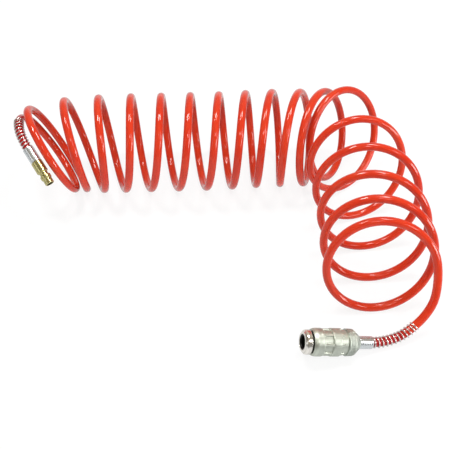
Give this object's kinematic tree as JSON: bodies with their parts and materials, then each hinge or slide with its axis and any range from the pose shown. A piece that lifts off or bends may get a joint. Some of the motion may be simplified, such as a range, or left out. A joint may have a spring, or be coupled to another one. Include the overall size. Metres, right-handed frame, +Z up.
{
  "type": "coiled air hose",
  "caption": "Coiled recoil air hose lying in an L on a flat surface, with spring-guarded ferrules, a quick coupler with a sliding sleeve at one end and a plug at the other.",
  "frame": {"origin": "on the surface that the hose lies on, under the middle of the whole hose's outline", "axes": "+X along the straight row of loops towards the corner, +Y from the coupler's end towards that row, +Z up from the surface"},
  "size_m": [0.4509, 0.3356, 0.115],
  "materials": {
    "red_hose": "glossy, slightly translucent red polyurethane",
    "polished_nickel": "polished nickel plate",
    "satin_nickel": "satin nickel plate",
    "coarse_nickel": "finely knurled nickel plate",
    "bright_ferrule": "bright zinc plate",
    "zinc_plug": "yellow passivated zinc plate",
    "spring_steel": "bright drawn wire",
    "dark_steel": "blackened steel",
    "brass_valve": "turned brass",
    "black_seal": "smooth black rubber"
  },
  "bodies": {
    "hose": {"hose_plug_end": "red_hose", "hose_long_row": "red_hose", "hose_short_row": "red_hose", "hose_coupler_end": "red_hose", "plug_body": "zinc_plug", "plug_ferrule": "bright_ferrule", "plug_bend_spring": "spring_steel", "nose_ring": "polished_nickel", "guide_bush": "dark_steel", "stop_ring": "dark_steel", "valve_body": "satin_nickel", "sleeve_spring": "spring_steel", "socket_seal": "black_seal", "valve_spring": "spring_steel", "rear_cap": "coarse_nickel", "coupler_tail": "satin_nickel", "coupler_ferrule": "bright_ferrule", "coupler_bend_spring": "spring_steel"},
    "sleeve": {"grip_sleeve": "satin_nickel"},
    "valve": {"valve_poppet": "brass_valve", "valve_seal": "black_seal"},
    "ball_1": {"locking_ball_1": "polished_nickel"},
    "ball_2": {"locking_ball_2": "polished_nickel"},
    "ball_3": {"locking_ball_3": "polished_nickel"},
    "ball_4": {"locking_ball_4": "polished_nickel"},
    "ball_5": {"locking_ball_5": "polished_nickel"},
    "ball_6": {"locking_ball_6": "polished_nickel"}
  },
  "joints": [
    {"name": "sleeve_slide", "type": "slide", "parent": "hose", "child": "sleeve", "axis": [0.9642, 0.1458, -0.2215], "range_m": [0, 0.004], "stiffness_N_per_m": 2500, "springref_m": -0.004, "deforming": ["sleeve_spring"]},
    {"name": "valve_slide", "type": "slide", "parent": "hose", "child": "valve", "axis": [0.9642, 0.1458, -0.2215], "range_m": [0, 0.003], "stiffness_N_per_m": 600, "springref_m": -0.003, "deforming": ["valve_spring"]},
    {"name": "ball_1_slide", "type": "slide", "parent": "hose", "child": "ball_1", "axis": [0.2191, 0.0331, 0.9751], "range_m": [0, 0.00146]},
    {"name": "ball_2_slide", "type": "slide", "parent": "hose", "child": "ball_2", "axis": [-0.02, 0.8729, 0.4876], "range_m": [0, 0.00146]},
    {"name": "ball_3_slide", "type": "slide", "parent": "hose", "child": "ball_3", "axis": [-0.239, 0.8397, -0.4876], "range_m": [0, 0.00146]},
    {"name": "ball_4_slide", "type": "slide", "parent": "hose", "child": "ball_4", "axis": [-0.2191, -0.0331, -0.9751], "range_m": [0, 0.00146]},
    {"name": "ball_5_slide", "type": "slide", "parent": "hose", "child": "ball_5", "axis": [0.02, -0.8729, -0.4876], "range_m": [0, 0.00146]},
    {"name": "ball_6_slide", "type": "slide", "parent": "hose", "child": "ball_6", "axis": [0.239, -0.8397, 0.4876], "range_m": [0, 0.00146]}
  ],
  "couplings": [
    {"joint": "ball_1_slide", "follows": "sleeve_slide", "ratio": 0.36397},
    {"joint": "ball_2_slide", "follows": "sleeve_slide", "ratio": 0.36397},
    {"joint": "ball_3_slide", "follows": "sleeve_slide", "ratio": 0.36397},
    {"joint": "ball_4_slide", "follows": "sleeve_slide", "ratio": 0.36397},
    {"joint": "ball_5_slide", "follows": "sleeve_slide", "ratio": 0.36397},
    {"joint": "ball_6_slide", "follows": "sleeve_slide", "ratio": 0.36397}
  ]
}
